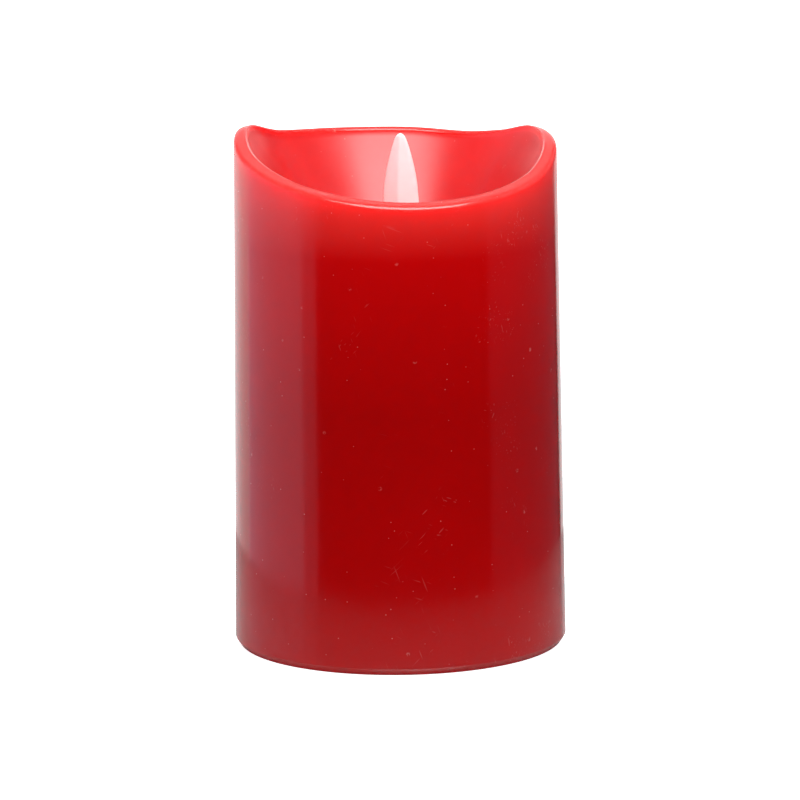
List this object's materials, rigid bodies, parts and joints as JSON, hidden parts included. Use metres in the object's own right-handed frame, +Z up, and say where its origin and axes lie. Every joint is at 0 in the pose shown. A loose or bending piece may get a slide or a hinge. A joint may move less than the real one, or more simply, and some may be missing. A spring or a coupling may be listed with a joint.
{
  "type": "flameless led pillar candle",
  "caption": "Battery pillar candle: red wax shell with a scooped wavy rim, a swinging flame blade on a wire, and a base with battery door and slide switch.",
  "frame": {"origin": "centre of the ring that the candle stands on, at table height", "axes": "+Z up along the candle's axis; the low side of the rim faces -Y; +X is to the right of someone who faces the low side"},
  "size_m": [0.081, 0.081, 0.1263],
  "materials": {
    "red_wax": "satin",
    "black_abs": "satin",
    "white_abs": "satin",
    "red_abs": "satin",
    "flame_resin": "satin",
    "lamp_resin": "gloss",
    "cell_sleeve": "gloss",
    "phenolic_board": "matte",
    "board_green": "satin",
    "lead_red": "satin",
    "lead_black": "satin",
    "lead_yellow": "satin",
    "bright_steel": "satin",
    "nickel_plate": "satin",
    "magnet_plating": "gloss",
    "copper_wire": "gloss"
  },
  "bodies": {
    "candle_body": {"wax_shell": "red_wax", "base_chassis": "black_abs", "cell_1": "cell_sleeve", "cell_2": "cell_sleeve", "positive_plate": "nickel_plate", "negative_plate": "nickel_plate", "link_plate": "nickel_plate", "negative_spring": "nickel_plate", "link_spring": "nickel_plate", "switch_case": "bright_steel", "switch_base": "phenolic_board", "switch_terminal_1": "nickel_plate", "switch_terminal_2": "nickel_plate", "switch_terminal_3": "nickel_plate", "switch_screw_1": "bright_steel", "switch_screw_2": "bright_steel", "tower_front": "white_abs", "tower_rear": "white_abs", "tower_screw_1": "bright_steel", "tower_screw_2": "bright_steel", "tower_screw_3": "bright_steel", "tower_screw_4": "bright_steel", "foot_screw_1": "bright_steel", "foot_screw_2": "bright_steel", "foot_screw_3": "bright_steel", "foot_screw_4": "bright_steel", "top_cap": "red_abs", "pivot_wire": "bright_steel", "led_lamp": "lamp_resin", "lamp_holder": "white_abs", "coil_bobbin": "white_abs", "coil_winding": "copper_wire", "circuit_board": "board_green", "control_chip": "black_abs", "coil_transistor": "black_abs", "resistor_1": "black_abs", "resistor_2": "black_abs", "timing_crystal": "bright_steel", "capacitor": "cell_sleeve", "battery_lead_red": "lead_red", "switch_lead_red": "lead_red", "switch_lead_yellow": "lead_yellow", "battery_lead_black": "lead_black", "lamp_lead_red": "lead_red", "lamp_lead_black": "lead_black", "coil_lead_1": "copper_wire", "coil_lead_2": "copper_wire"},
    "flame_pendulum": {"flame": "flame_resin", "flame_magnet": "magnet_plating"},
    "door_panel": {"battery_door": "black_abs"},
    "slider": {"switch_slider": "black_abs"}
  },
  "joints": [
    {"name": "flame_swing", "type": "hinge", "parent": "candle_body", "child": "flame_pendulum", "pos_m": [0.0013, 0, 0.084], "axis": [0.342, 0.9397, 0], "range_deg": [-9, 9]},
    {"name": "switch_slide", "type": "slide", "parent": "candle_body", "child": "slider", "axis": [1, 0, 0], "range_m": [0, 0.004]},
    {"name": "door_hinge", "type": "hinge", "parent": "candle_body", "child": "door_panel", "pos_m": [-0.02665, 0, 0.0026], "axis": [0, 1, 0], "range_deg": [0, 95]}
  ]
}
